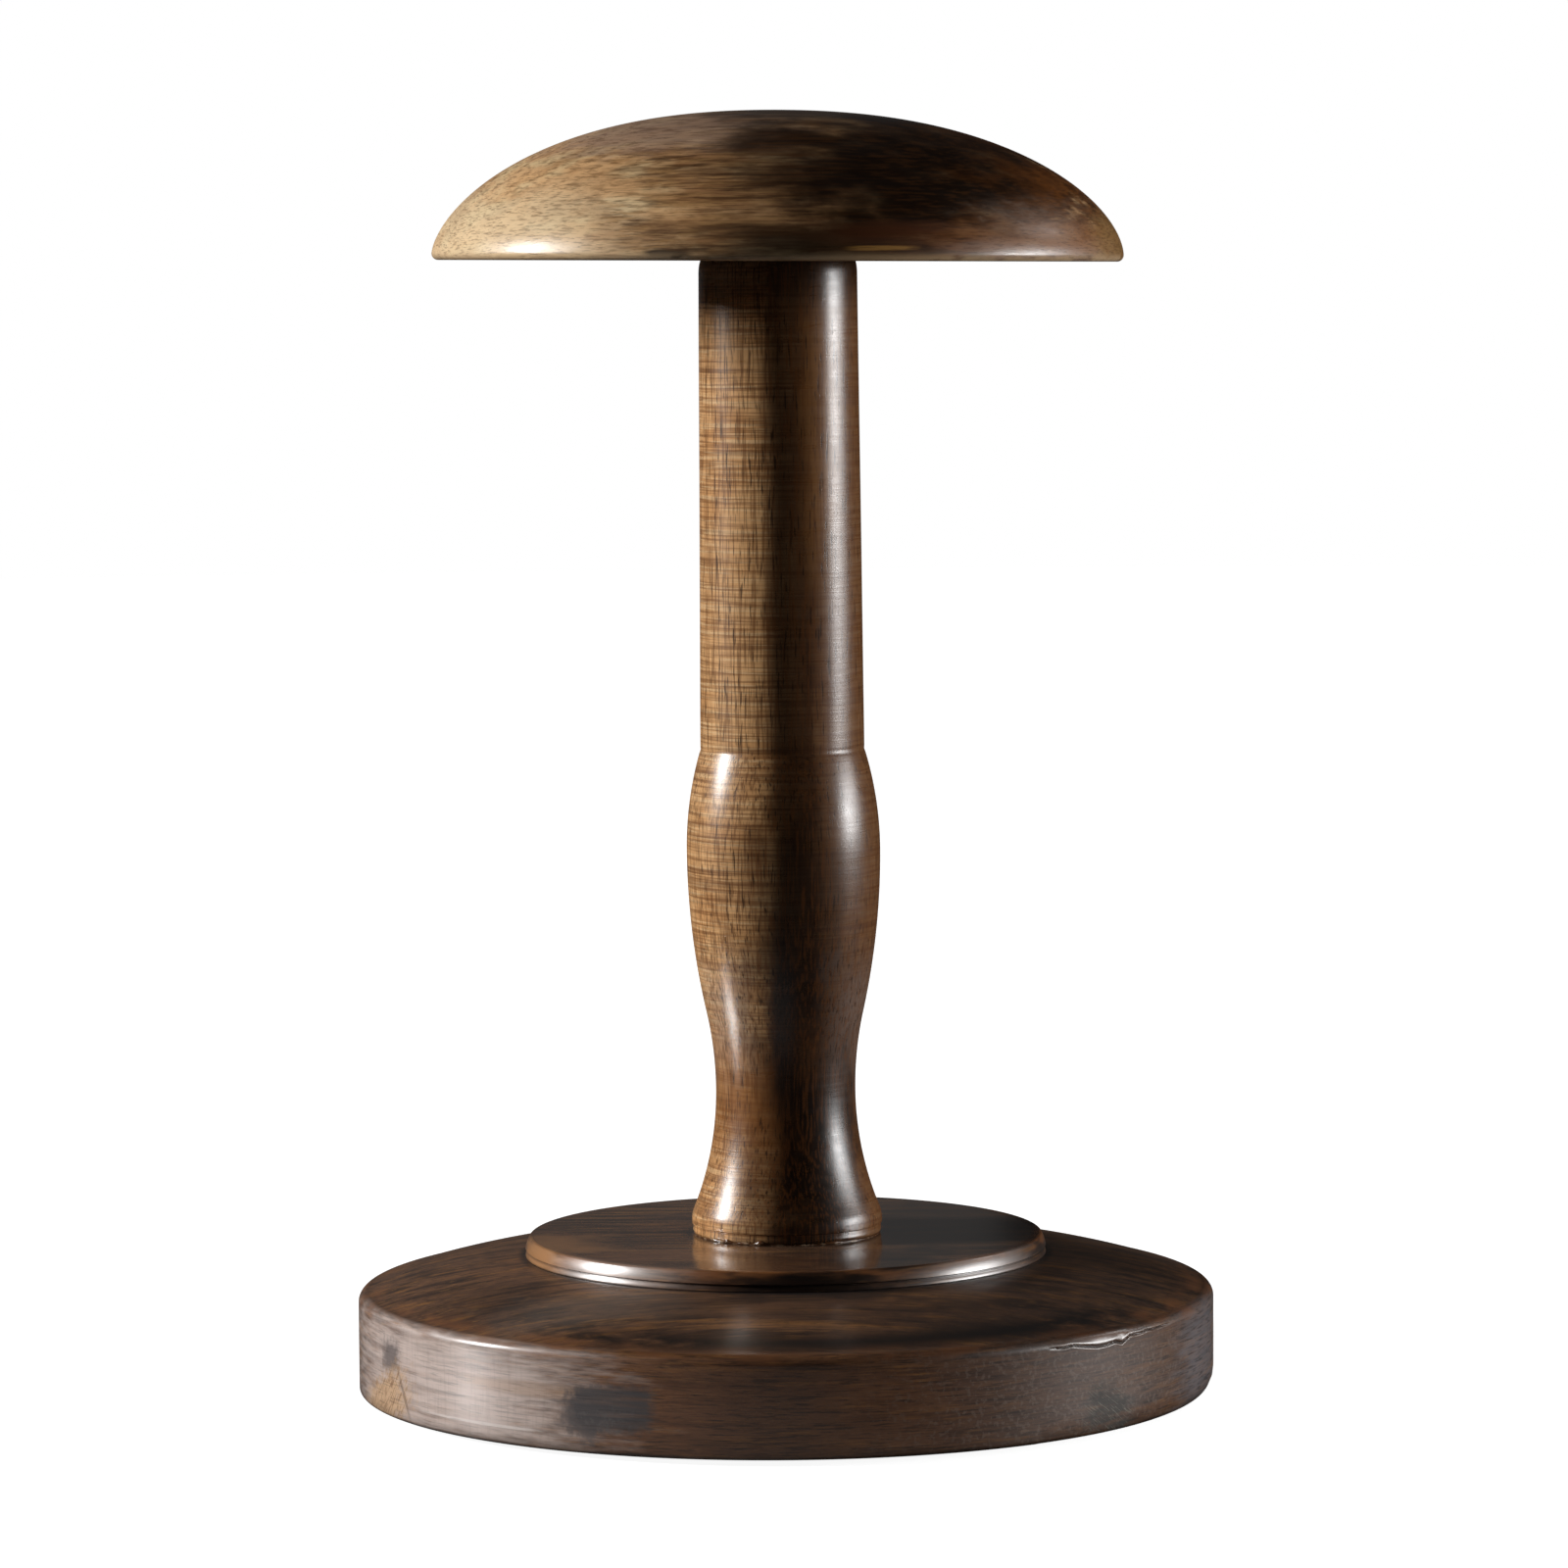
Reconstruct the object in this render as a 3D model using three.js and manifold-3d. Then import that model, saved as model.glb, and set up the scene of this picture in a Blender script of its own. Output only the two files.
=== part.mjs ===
import * as THREE from 'three';
import { mergeVertices } from 'three/addons/utils/BufferGeometryUtils.js';
import Module from 'manifold-3d';

// Milliner's hat stand: a domed head block on a turned post, a stepped disc and a heavy round base.
// Lengths are millimetres, +Z is up, and the origin is the centre of the underside.

const wasm = await Module();
wasm.setup();

// Base disc
const base_radius = 100;
const base_rim_height = 23.4;
const base_rise = 7.5;
const base_crown = 1;
const base_top_round = 2.5;
const base_bottom_round = 1;
const base_mortise_depth = 18;
const base_counterbore_radius = 8;
const base_counterbore_depth = 6;

// Step disc
const disc_radius = 60.9;
const disc_height = 4.65;
const disc_arris_round = 1.1;
const disc_quirk_width = 0.5;
const disc_quirk_depth = 0.4;
const disc_foot_round = 0.6;
const seat_margin = 0.5;

// Post
const post_height = 227;
const post_top_radius = 18.4;
const crease_radius = 19.15;
const bulb_radius = 22.6;
const waist_radius = 16.32;
const foot_radius = 22.25;
const foot_bead_radius = 22;
const foot_bead_height = 2.2;
const foot_quirk_depth = 0.5;
const foot_quirk_width = 0.4;
const foot_lip_height = 0.55;
const tenon_radius = 11;
const head_tenon_length = 22;
const tenon_chamfer = 1;

// Heights of the post's features, as shares of its height above the step disc
const crease_share = 0.5;
const bulb_share = 0.397;
const waist_share = 0.1495;

// How much of each ogee's two radii belongs to its rounded end
const bulb_ogee_share = 0.677;
const foot_ogee_share = 0.17;

// Head block
const head_radius = 80;
const head_height = 34.7;
const head_edge_round = 1.5;
const head_radial_power = 2.24;
const head_height_power = 1.7;

// Screw, washer and felt
const screw_shank_radius = 2.4;
const screw_head_radius = 4.6;
const screw_head_height = 3;
const screw_length = 30;
const screw_point_length = 4;
const screw_slot_width = 1.1;
const screw_slot_depth = 1.3;
const washer_radius = 7;
const washer_thickness = 1.2;
const felt_thickness = 1.2;
const felt_inset = 8;

// Room between pieces: round the tenons, round the screw, and for glue past the end of a tenon
const fit_clearance = 0.3;
const screw_clearance = 0.25;
const glue_room = 0.8;

// Facets round each turned piece, and steps along each curve
const large_facets = 64;
const post_facets = 36;
const small_facets = 24;
const arc_steps = 3;
const ogee_steps = 5;
const dome_steps = 12;

// Levels up the stand
const base_bottom = felt_thickness;
const base_seat = base_bottom + base_rim_height + base_rise;
const disc_top = base_seat + disc_height;
const head_bottom = disc_top + post_height;
const mortise_radius = tenon_radius + fit_clearance;
const mortise_floor = base_seat - base_mortise_depth - glue_room;
const counterbore_roof = base_bottom + base_counterbore_depth;
const screw_hole_radius = screw_shank_radius + screw_clearance;

const quarter = Math.PI / 2;

const point = (radius, height) => new THREE.Vector2(radius, height);

// Points of an arc round a centre in the turning plane, both ends included
function arc(centre_radius, centre_height, radius, from, to, steps = arc_steps) {
  return Array.from({ length: steps + 1 }, (_, i) => {
    const angle = from + ((to - from) * i) / steps;
    return point(centre_radius + radius * Math.cos(angle), centre_height + radius * Math.sin(angle));
  });
}

// Points of a shallow bow from one point to another, a parabola that stands out by a given bulge
function shallow_bow(start, end, bulge, steps = ogee_steps) {
  const chord = end.clone().sub(start);
  const outward = point(chord.y, -chord.x).normalize();
  return Array.from({ length: steps + 1 }, (_, i) => {
    const share = i / steps;
    const rise = 4 * bulge * share * (1 - share);
    return start.clone().addScaledVector(chord, share).addScaledVector(outward, rise);
  });
}

// Two tangent arcs that join a wide level to a narrow one, upright at both ends.
// The radii together follow from the two levels, and wide_share of them belongs to the wide end.
function ogee(wide, narrow, wide_share, steps = ogee_steps) {
  const step_in = wide.x - narrow.x;
  const run = Math.abs(narrow.y - wide.y);
  const up = Math.sign(narrow.y - wide.y);
  const radii = (step_in * step_in + run * run) / (2 * step_in);
  const wide_arc = radii * wide_share;
  const narrow_arc = radii - wide_arc;
  const turn = Math.asin(run / radii);
  const points = [];
  for (let i = 0; i <= steps; i += 1) {
    const angle = (turn * i) / steps;
    points.push(point(wide.x - wide_arc * (1 - Math.cos(angle)), wide.y + up * wide_arc * Math.sin(angle)));
  }
  for (let i = steps - 1; i >= 0; i -= 1) {
    const angle = (turn * i) / steps;
    points.push(point(narrow.x + narrow_arc * (1 - Math.cos(angle)), narrow.y - up * narrow_arc * Math.sin(angle)));
  }
  return points;
}

// A turned solid from its outline, which runs upward along the outside
function turned(outline, facets) {
  const geometry = new THREE.LatheGeometry(outline, facets);
  geometry.rotateX(quarter);
  return geometry;
}

// A closed outline ends where it starts
const closed = (outline) => [...outline, outline[0].clone()];

// Base disc: straight rim, crowned top rising to a flat seat, stepped bore through the middle
function base_outline() {
  const rim_top = base_bottom + base_rim_height;
  const bottom_round = arc(base_radius - base_bottom_round, base_bottom + base_bottom_round,
    base_bottom_round, -quarter, 0);
  const top_round = arc(base_radius - base_top_round, rim_top - base_top_round, base_top_round, 0, quarter);
  const seat_edge = point(disc_radius + seat_margin, base_seat);
  const crown = shallow_bow(top_round[top_round.length - 1], seat_edge, base_crown).slice(1);
  return closed([
    point(base_counterbore_radius, base_bottom),
    ...bottom_round,
    ...top_round,
    ...crown,
    point(mortise_radius, base_seat),
    point(mortise_radius, mortise_floor),
    point(screw_hole_radius, mortise_floor),
    point(screw_hole_radius, counterbore_roof),
    point(base_counterbore_radius, counterbore_roof),
  ]);
}

// Step disc: its edge is two beads with a fine quirk between them
function disc_outline() {
  const quirk_middle = base_seat + disc_height / 2;
  const quirk_floor = disc_radius - disc_quirk_depth;
  return closed([
    point(mortise_radius, base_seat),
    ...arc(disc_radius - disc_foot_round, base_seat + disc_foot_round, disc_foot_round, -quarter, 0),
    point(disc_radius, quirk_middle - disc_quirk_width / 2),
    point(quirk_floor, quirk_middle),
    point(disc_radius, quirk_middle + disc_quirk_width / 2),
    ...arc(disc_radius - disc_arris_round, disc_top - disc_arris_round, disc_arris_round, 0, quarter),
    point(mortise_radius, disc_top),
  ]);
}

// Post: lower tenon with the screw's pilot hole, beaded foot, waist, bulb, tapered neck, upper tenon
function post_outline() {
  const tenon_end = base_seat - base_mortise_depth;
  const head_tenon_end = head_bottom + head_tenon_length;
  const pilot_end = counterbore_roof - washer_thickness + screw_length + glue_room;
  const foot = point(foot_radius, disc_top + foot_bead_height + foot_quirk_width + foot_lip_height);
  const waist = point(waist_radius, disc_top + post_height * waist_share);
  const bulb = point(bulb_radius, disc_top + post_height * bulb_share);
  const crease = point(crease_radius, disc_top + post_height * crease_share);
  const bead_round = foot_bead_height / 2;
  const bead_middle = disc_top + bead_round;
  const quirk_floor = foot_bead_radius - foot_quirk_depth;
  const bulb_step = bulb.x - crease.x;
  const bulb_run = crease.y - bulb.y;
  const bulb_arc = (bulb_step * bulb_step + bulb_run * bulb_run) / (2 * bulb_step);
  const bulb_turn = Math.asin(bulb_run / bulb_arc);
  return [
    point(0, pilot_end),
    point(screw_hole_radius, pilot_end),
    point(screw_hole_radius, tenon_end),
    point(tenon_radius - tenon_chamfer, tenon_end),
    point(tenon_radius, tenon_end + tenon_chamfer),
    point(tenon_radius, disc_top),
    ...arc(foot_bead_radius - bead_round, bead_middle, bead_round, -quarter, quarter),
    point(quirk_floor, disc_top + foot_bead_height + foot_quirk_width / 2),
    point(foot_radius - foot_quirk_depth, disc_top + foot_bead_height + foot_quirk_width),
    ...ogee(foot, waist, foot_ogee_share),
    ...ogee(bulb, waist, bulb_ogee_share).reverse().slice(1),
    ...arc(bulb.x - bulb_arc, bulb.y, bulb_arc, 0, bulb_turn, ogee_steps).slice(1),
    point(post_top_radius, head_bottom),
    point(tenon_radius, head_bottom),
    point(tenon_radius, head_tenon_end - tenon_chamfer),
    point(tenon_radius - tenon_chamfer, head_tenon_end),
    point(0, head_tenon_end),
  ];
}

// Head block: flat underneath with a blind mortise, rounded lower arris and a full dome
function head_outline() {
  const mortise_roof = head_bottom + head_tenon_length + glue_room;
  const spring = head_bottom + head_edge_round;
  const dome_height = head_height - head_edge_round;
  const dome = Array.from({ length: dome_steps }, (_, i) => {
    const angle = (quarter * (i + 1)) / dome_steps;
    const reach = Math.pow(Math.max(Math.cos(angle), 0), 2 / head_radial_power);
    const rise = Math.pow(Math.sin(angle), 2 / head_height_power);
    return point(i + 1 < dome_steps ? head_radius * reach : 0, spring + dome_height * rise);
  });
  return [
    point(0, mortise_roof),
    point(mortise_radius, mortise_roof),
    point(mortise_radius, head_bottom),
    ...arc(head_radius - head_edge_round, spring, head_edge_round, -quarter, 0),
    ...dome,
  ];
}

// Washer: a flat ring against the counterbore's roof
function washer_outline() {
  const bottom = counterbore_roof - washer_thickness;
  return closed([
    point(screw_hole_radius, bottom),
    point(washer_radius, bottom),
    point(washer_radius, counterbore_roof),
    point(screw_hole_radius, counterbore_roof),
  ]);
}

// Felt: a thin disc glued under the base
function felt_outline() {
  return [
    point(0, 0),
    point(base_radius - felt_inset, 0),
    point(base_radius - felt_inset, felt_thickness),
    point(0, felt_thickness),
  ];
}

// Screw before its slot: round head downward under the washer, shank, and a point inside the tenon
function screw_outline() {
  const seat = counterbore_roof - washer_thickness;
  const crown = Array.from({ length: arc_steps + 1 }, (_, i) => {
    const angle = (quarter * i) / arc_steps;
    return point(screw_head_radius * Math.sin(angle), seat - screw_head_height * Math.cos(angle));
  });
  return [
    ...crown,
    point(screw_shank_radius, seat),
    point(screw_shank_radius, seat + screw_length - screw_point_length),
    point(0, seat + screw_length),
  ];
}

// Booleans need one shared corner wherever faces meet, so only positions are kept and then merged
function solid(geometry) {
  const bare = geometry.clone();
  bare.deleteAttribute('normal');
  bare.deleteAttribute('uv');
  const merged = mergeVertices(bare);
  return new wasm.Manifold(new wasm.Mesh({
    numProp: 3,
    vertProperties: merged.attributes.position.array,
    triVerts: new Uint32Array(merged.index.array),
  }));
}

function geometry_of(manifold) {
  const mesh = manifold.getMesh();
  const geometry = new THREE.BufferGeometry();
  geometry.setAttribute('position', new THREE.BufferAttribute(mesh.vertProperties, 3));
  geometry.setIndex(new THREE.BufferAttribute(mesh.triVerts, 1));
  geometry.computeVertexNormals();
  return geometry;
}

function slotted_screw() {
  const head_bottom_level = counterbore_roof - washer_thickness - screw_head_height;
  const slot = new THREE.BoxGeometry(screw_slot_width, 4 * screw_head_radius, 2 * screw_slot_depth);
  slot.translate(0, 0, head_bottom_level);
  return geometry_of(solid(turned(screw_outline(), small_facets)).subtract(solid(slot)));
}

const finish = (color, roughness, metalness = 0) =>
  new THREE.MeshStandardMaterial({ color, roughness, metalness });

const head_wood = finish('#8a6038', 0.4);
const post_wood = finish('#6b4023', 0.35);
const disc_wood = finish('#4a3224', 0.4);
const base_wood = finish('#4d3526', 0.45);
const steel = finish('#8d8f92', 0.35, 1);
const felt = finish('#2f4a35', 0.95);

const stand = new THREE.Group();

function add(name, geometry, material) {
  const mesh = new THREE.Mesh(geometry, material);
  mesh.name = name;
  stand.add(mesh);
}

add('base_felt', turned(felt_outline(), large_facets), felt);
add('base_disc', turned(base_outline(), large_facets), base_wood);
add('step_disc', turned(disc_outline(), large_facets), disc_wood);
add('post', turned(post_outline(), post_facets), post_wood);
add('head_block', turned(head_outline(), large_facets), head_wood);
add('base_washer', turned(washer_outline(), small_facets), steel);
add('base_screw', slotted_screw(), steel);

export default stand;
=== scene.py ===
"""Looks of a milliner's hat stand: turned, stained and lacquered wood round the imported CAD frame.

Lengths are written in millimetres, as in the part, and go into the meshes in metres.
An azimuth is in degrees round the stand's axis: 0 faces the camera, positive to its right.
"""
import math

import bpy
import numpy as np
from mathutils import Matrix, Vector


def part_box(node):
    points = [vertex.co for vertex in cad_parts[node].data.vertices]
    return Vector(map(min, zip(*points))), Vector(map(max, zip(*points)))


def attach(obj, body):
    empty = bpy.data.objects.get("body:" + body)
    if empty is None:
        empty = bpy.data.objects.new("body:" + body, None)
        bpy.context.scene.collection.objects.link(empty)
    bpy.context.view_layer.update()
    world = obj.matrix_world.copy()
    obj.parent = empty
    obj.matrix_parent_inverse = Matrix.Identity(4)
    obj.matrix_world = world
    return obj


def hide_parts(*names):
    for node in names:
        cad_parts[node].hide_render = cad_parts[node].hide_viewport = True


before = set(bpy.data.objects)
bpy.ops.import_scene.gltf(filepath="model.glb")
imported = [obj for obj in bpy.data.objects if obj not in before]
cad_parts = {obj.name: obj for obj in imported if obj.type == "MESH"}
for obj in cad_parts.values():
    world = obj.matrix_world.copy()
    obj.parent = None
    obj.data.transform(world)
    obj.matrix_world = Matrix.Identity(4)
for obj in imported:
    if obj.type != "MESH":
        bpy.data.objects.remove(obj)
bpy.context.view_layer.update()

MM = 0.001
TAU = 2 * math.pi
QUARTER = math.pi / 2

# Camera, solved from the photograph, where the head's underside lies on the horizon. Its turns are in radians
PHOTO_SIZE = 1600
FOCAL_PIXELS = 6586
SENSOR_WIDTH = 36
CAMERA_DISTANCE = 1498
CAMERA_SIDE = 0.5
CAMERA_PITCH = 0.0811
CAMERA_ROLL = 0.008
FARTHEST_SEEN = 20000


def node_levels(node):
    """Lowest and highest level of a CAD node, and its outer radius, in millimetres."""
    low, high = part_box(node)
    return low.z / MM, high.z / MM, high.x / MM


base_bottom, base_seat, base_radius = node_levels("base_disc")
disc_bottom, disc_top, disc_radius = node_levels("step_disc")
post_bottom, post_end, bulb_radius = node_levels("post")
head_bottom, head_top, head_radius = node_levels("head_block")


def make_camera():
    """A camera that looks along y, pitched down and rolled, with the photograph's field of view."""
    camera = bpy.data.objects.new("camera", bpy.data.cameras.new("camera"))
    bpy.context.scene.collection.objects.link(camera)
    camera.data.sensor_width = SENSOR_WIDTH
    camera.data.lens = SENSOR_WIDTH * FOCAL_PIXELS / PHOTO_SIZE
    camera.data.clip_end = FARTHEST_SEEN * MM
    place = Vector((CAMERA_SIDE, -CAMERA_DISTANCE, head_bottom)) * MM
    pitch = Matrix.Rotation(QUARTER - CAMERA_PITCH, 4, "X")
    roll = Matrix.Rotation(-CAMERA_ROLL, 4, "Z")
    camera.matrix_world = Matrix.Translation(place) @ pitch @ roll
    bpy.context.scene.camera = camera


make_camera()


def arc(centre_radius, centre_height, radius, start, end, steps):
    """Points on a circle: centre plus radius times cosine and sine of an angle from start to end."""
    angle = np.linspace(start, end, steps + 1)
    return np.stack([centre_radius + radius * np.cos(angle), centre_height + radius * np.sin(angle)], 1)


def ogee(wide, narrow, wide_share, steps):
    """Two tangent arcs, upright at both ends.

    Their radii add up to the sum of the squares of the step in and the run up, over twice the step.
    """
    step = wide[0] - narrow[0]
    run = abs(narrow[1] - wide[1])
    up = math.copysign(1, narrow[1] - wide[1])
    radii = (step * step + run * run) / (2 * step)
    turn = math.asin(run / radii)
    wide_arc = radii * wide_share
    narrow_arc = radii - wide_arc
    angle = np.linspace(0, turn, steps + 1)
    first = np.stack([wide[0] - wide_arc * (1 - np.cos(angle)), wide[1] + up * wide_arc * np.sin(angle)], 1)
    angle = angle[-2::-1]
    second_radius = narrow[0] + narrow_arc * (1 - np.cos(angle))
    second = np.stack([second_radius, narrow[1] - up * narrow_arc * np.sin(angle)], 1)
    return np.concatenate([first, second])


def outline(*runs):
    """One outline from runs of (spacing, points), with points filled in no further apart than the spacing."""
    filled = [np.asarray(runs[0][1], float)[:1]]
    for spacing, points in runs:
        points = np.concatenate([filled[-1][-1:], np.asarray(points, float)])
        for start, end in zip(points[:-1], points[1:]):
            count = math.ceil(np.linalg.norm(end - start) / spacing)
            if count:
                share = np.arange(1, count + 1)[:, None] / count
                filled.append(start + (end - start) * share)
    return np.concatenate(filled)


# Turned outlines. Each runs upward along the outside, in millimetres from the axis and from the floor

# The part's own sizes, for the curves that the CAD boxes don't give
RIM_HEIGHT = 23.4
RIM_TOP_ROUND = 2.5
RIM_FOOT_ROUND = 1
BASE_CROWN = 1
SEAT_MARGIN = 0.5
MORTISE_RADIUS = 11.3
MORTISE_DEPTH = 18
SCREW_HOLE_RADIUS = 2.65
COUNTERBORE_RADIUS = 8
COUNTERBORE_DEPTH = 6
WAIST_RADIUS = 16.32
CREASE_RADIUS = 19.15
NECK_RADIUS = 18.4
FOOT_RADIUS = 22.25
FOOT_BEAD_RADIUS = 22
FOOT_BEAD_HEIGHT = 2.2
FOOT_QUIRK_WIDTH = 0.4
FOOT_LIP_HEIGHT = 0.55
CREASE_SHARE = 0.5
BULB_SHARE = 0.397
WAIST_SHARE = 0.1495
BULB_OGEE_SHARE = 0.677
TENON_RADIUS = 11
TENON_CHAMFER = 1
HEAD_EDGE_ROUND = 1.5
HEAD_RADIAL_POWER = 2.24
HEAD_HEIGHT_POWER = 1.7
GLUE_ROOM = 0.8

# Thin trim that is finer here than in the part: the step's edge, whose beads lean in by degrees, the post's
# foot, whose bead ends at an angle, and the post's top, which eases into the head
EDGE_BEAD_ROUND = 0.8
EDGE_FOOT_ROUND = 0.25
EDGE_QUIRK_SHARE = 0.32
EDGE_QUIRK_WIDTH = 0.7
EDGE_QUIRK_DEPTH = 0.32
EDGE_LEAN = (11, 29)
FOOT_BEAD_END = math.radians(20)
FOOT_QUIRK_DEPTH = 0.04
FOOT_OGEE_SHARE = 0.1
NECK_EASE = 0.5
NECK_EASE_HEIGHT = 4

# How far apart the rings lie: out of sight, on plain curves, on the post, on rounded edges, and at the crack
HIDDEN_SPACING = 8
CURVE_SPACING = 2
FINE_SPACING = 0.8
EDGE_SPACING = 1
MARK_SPACING = 0.16

rim_top = base_bottom + RIM_HEIGHT
crease_height = disc_top + (head_bottom - disc_top) * CREASE_SHARE
disc_quirk = disc_bottom + (disc_top - disc_bottom) * EDGE_QUIRK_SHARE
head_spring = head_bottom + HEAD_EDGE_ROUND


def base_outline():
    """The base: rounded foot and shoulder, a top that is a chord plus a parabola, and the stepped bore."""
    foot = arc(base_radius - RIM_FOOT_ROUND, base_bottom + RIM_FOOT_ROUND, RIM_FOOT_ROUND, -QUARTER, 0, 6)
    shoulder = arc(base_radius - RIM_TOP_ROUND, rim_top - RIM_TOP_ROUND, RIM_TOP_ROUND, 0, QUARTER, 20)
    share = np.linspace(0, 1, 25)[1:, None]
    start = shoulder[-1]
    end = np.array([disc_radius + SEAT_MARGIN, base_seat])
    chord = end - start
    outward = np.array([chord[1], -chord[0]]) / np.linalg.norm(chord)
    crown = start + chord * share + outward * (4 * BASE_CROWN * share * (1 - share))
    roof = base_bottom + COUNTERBORE_DEPTH
    floor = base_seat - MORTISE_DEPTH - GLUE_ROOM
    bore = [
        [MORTISE_RADIUS, base_seat], [MORTISE_RADIUS, floor], [SCREW_HOLE_RADIUS, floor],
        [SCREW_HOLE_RADIUS, roof], [COUNTERBORE_RADIUS, roof], [COUNTERBORE_RADIUS, base_bottom],
    ]
    crack_floor = [[base_radius, rim_top - CRACK_BAND]]
    return outline(
        (HIDDEN_SPACING, [[COUNTERBORE_RADIUS, base_bottom], foot[0]]), (EDGE_SPACING, foot[1:]),
        (CURVE_SPACING, crack_floor), (MARK_SPACING, shoulder[:1]), (EDGE_SPACING, shoulder[1:]),
        (CURVE_SPACING, crown), (HIDDEN_SPACING, bore),
    )


def edge_bead(low, high, least, most):
    """An arc between two levels of the step's edge, whose face leans in by the least angle, then by the most.

    Its radius is the rise over the difference of the two angles' sines.
    """
    radius = (high - low) / (math.sin(most) - math.sin(least))
    return arc(disc_radius - radius * math.cos(least), low - radius * math.sin(least), radius, least, most, 8)


def disc_outline():
    """The step disc. Its edge is two beads that lean in, either side of a quirk, under a rounded arris.

    The quirk is as deep as half of one plus a cosine wave.
    """
    least, most = (math.radians(lean) for lean in EDGE_LEAN)
    foot = arc(disc_radius - EDGE_FOOT_ROUND, disc_bottom + EDGE_FOOT_ROUND, EDGE_FOOT_ROUND, -QUARTER, 0, 5)
    quirk_low = disc_quirk - EDGE_QUIRK_WIDTH / 2
    quirk_high = disc_quirk + EDGE_QUIRK_WIDTH / 2
    low_bead = edge_bead(foot[-1, 1], quirk_low, least, most)
    high_bead = edge_bead(quirk_high, disc_top - EDGE_BEAD_ROUND * (1 - math.sin(most)), least, most)
    across = np.linspace(-1, 1, 9)
    lean = (disc_radius - low_bead[-1, 0]) * (1 - across) / 2
    depth = EDGE_QUIRK_DEPTH * (1 + np.cos(across * math.pi)) / 2 + lean
    quirk = np.stack([disc_radius - depth, disc_quirk + across * EDGE_QUIRK_WIDTH / 2], 1)
    arris = arc(high_bead[-1, 0] - EDGE_BEAD_ROUND * math.cos(most), disc_top - EDGE_BEAD_ROUND,
                EDGE_BEAD_ROUND, most, QUARTER, 8)
    bore = [[MORTISE_RADIUS, disc_top], [MORTISE_RADIUS, disc_bottom]]
    return outline(
        (HIDDEN_SPACING, [[MORTISE_RADIUS, disc_bottom], foot[0]]), (EDGE_SPACING, foot[1:]),
        (EDGE_SPACING, low_bead), (EDGE_SPACING, quirk), (EDGE_SPACING, high_bead), (EDGE_SPACING, arris),
        (CURVE_SPACING, bore[:1]), (HIDDEN_SPACING, bore[1:]),
    )


def post_outline():
    """The post: bead and quirk, an ogee to the waist, another to the bulb, an arc to the crease and a taper.

    The neck at its top narrows by the third power of the rise, and each end has a chamfered tenon.
    """
    height = head_bottom - disc_top
    foot = (FOOT_RADIUS, disc_top + FOOT_BEAD_HEIGHT + FOOT_QUIRK_WIDTH + FOOT_LIP_HEIGHT)
    waist = (WAIST_RADIUS, disc_top + height * WAIST_SHARE)
    bulb = (bulb_radius, disc_top + height * BULB_SHARE)
    crease = (CREASE_RADIUS, crease_height)
    bead_round = FOOT_BEAD_HEIGHT / 2
    bead = arc(FOOT_BEAD_RADIUS - bead_round, disc_top + bead_round, bead_round, -QUARTER, FOOT_BEAD_END, 12)
    quirk = [
        [FOOT_BEAD_RADIUS - FOOT_QUIRK_DEPTH, disc_top + FOOT_BEAD_HEIGHT + FOOT_QUIRK_WIDTH / 2],
        [FOOT_RADIUS - FOOT_QUIRK_DEPTH, disc_top + FOOT_BEAD_HEIGHT + FOOT_QUIRK_WIDTH],
    ]
    step = bulb[0] - crease[0]
    run = crease[1] - bulb[1]
    bulb_arc = (step * step + run * run) / (2 * step)
    upper = arc(bulb[0] - bulb_arc, bulb[1], bulb_arc, 0, math.asin(run / bulb_arc), 24)[1:]
    lower_tenon = [
        [0, post_bottom], [TENON_RADIUS - TENON_CHAMFER, post_bottom],
        [TENON_RADIUS, post_bottom + TENON_CHAMFER], [TENON_RADIUS, disc_top],
    ]
    upper_tenon = [
        [TENON_RADIUS, head_bottom], [TENON_RADIUS, post_end - TENON_CHAMFER],
        [TENON_RADIUS - TENON_CHAMFER, post_end], [0, post_end],
    ]
    rise = np.linspace(0, 1, 9)
    neck = np.stack([NECK_RADIUS - NECK_EASE * rise ** 3, head_bottom - NECK_EASE_HEIGHT * (1 - rise)], 1)
    return outline(
        (HIDDEN_SPACING, lower_tenon), (EDGE_SPACING, bead), (EDGE_SPACING, quirk),
        (FINE_SPACING, ogee(foot, waist, FOOT_OGEE_SHARE, 24)),
        (FINE_SPACING, ogee(bulb, waist, BULB_OGEE_SHARE, 30)[::-1][1:]), (FINE_SPACING, upper),
        (FINE_SPACING, neck), (HIDDEN_SPACING, upper_tenon),
    )


def head_outline():
    """The head: a superellipse on a rounded lower arris.

    The shares of its full radius and height, each to its own power, add up to one.
    """
    angle = np.linspace(0, QUARTER, 90)[1:]
    reach = np.clip(np.cos(angle), 0, 1) ** (2 / HEAD_RADIAL_POWER)
    reach[-1] = 0
    rise = np.sin(angle) ** (2 / HEAD_HEIGHT_POWER)
    dome = np.stack([head_radius * reach, head_spring + (head_top - head_spring) * rise], 1)
    edge = arc(head_radius - HEAD_EDGE_ROUND, head_spring, HEAD_EDGE_ROUND, -QUARTER, 0, 8)
    roof = post_end + GLUE_ROOM
    bore = [[0, roof], [MORTISE_RADIUS, roof], [MORTISE_RADIUS, head_bottom]]
    return outline(
        (HIDDEN_SPACING, bore), (HIDDEN_SPACING, edge[:1]), (EDGE_SPACING, edge[1:]), (CURVE_SPACING, dome),
    )


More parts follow.
